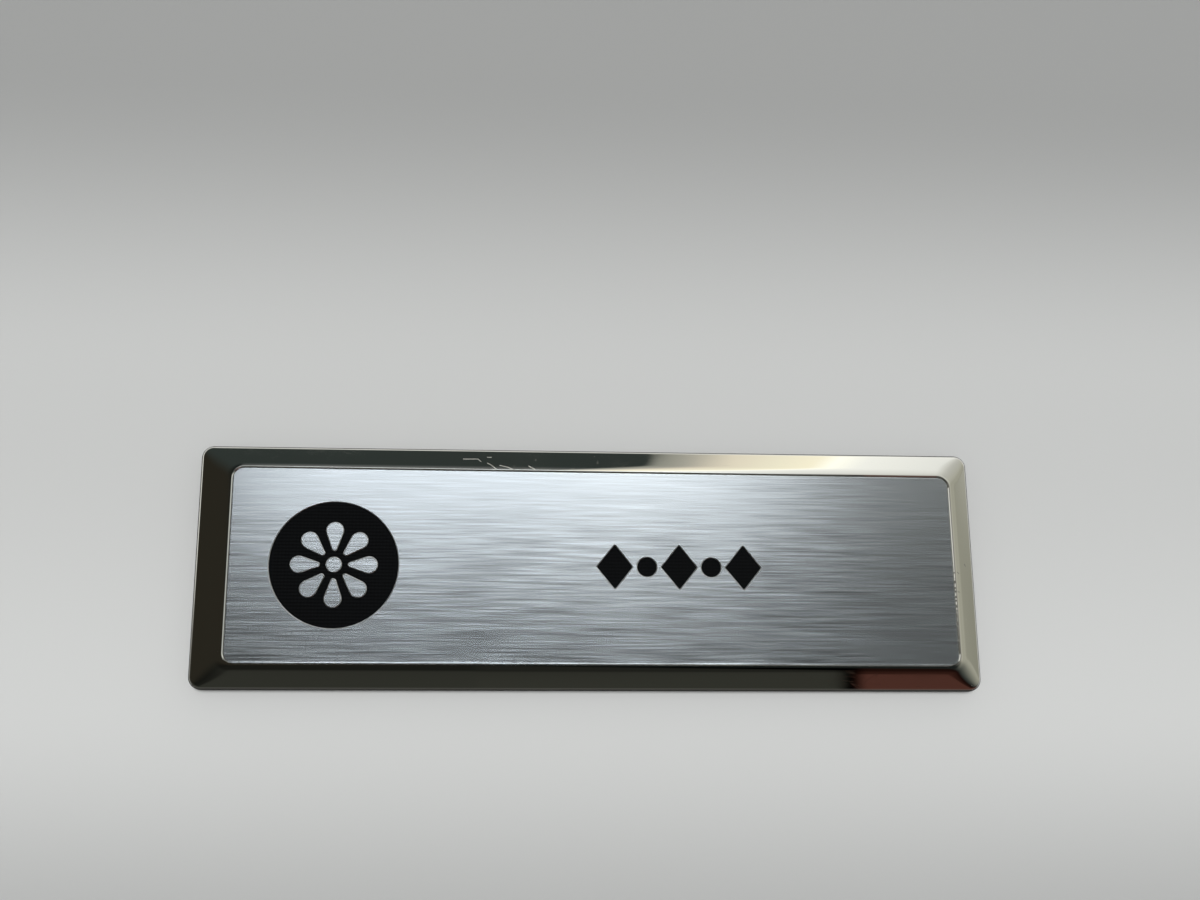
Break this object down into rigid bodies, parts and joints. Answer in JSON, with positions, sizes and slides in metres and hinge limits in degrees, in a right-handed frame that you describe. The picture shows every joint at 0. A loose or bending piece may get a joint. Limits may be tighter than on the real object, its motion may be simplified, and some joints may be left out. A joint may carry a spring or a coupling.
{
  "type": "name badge",
  "caption": "Slim rectangular metal name badge: polished bevelled frame, brushed steel plate with a black round emblem and black engraved marks, plain fastening bar behind.",
  "frame": {"origin": "under the middle of the frame, on the surface that the badge lies on, at the underside of the fastening bar", "axes": "+X along the badge to the wearer's left, which is the reader's right; +Y up the face; +Z out of the face"},
  "size_m": [0.076, 0.0238, 0.0026],
  "materials": {
    "polished_steel": "mirror polished, fine scratches",
    "brushed_steel": "brushed along its length",
    "black_enamel": "matt black with fine engraving lines",
    "plated_steel": "dull nickel plate"
  },
  "bodies": {
    "root": {"bezel_frame": "polished_steel", "face_plate": "brushed_steel", "emblem_enamel": "black_enamel", "name_mark_1": "black_enamel", "name_mark_2": "black_enamel", "name_mark_3": "black_enamel", "name_mark_4": "black_enamel", "name_mark_5": "black_enamel", "fastening_bar": "plated_steel"}
  },
  "joints": []
}
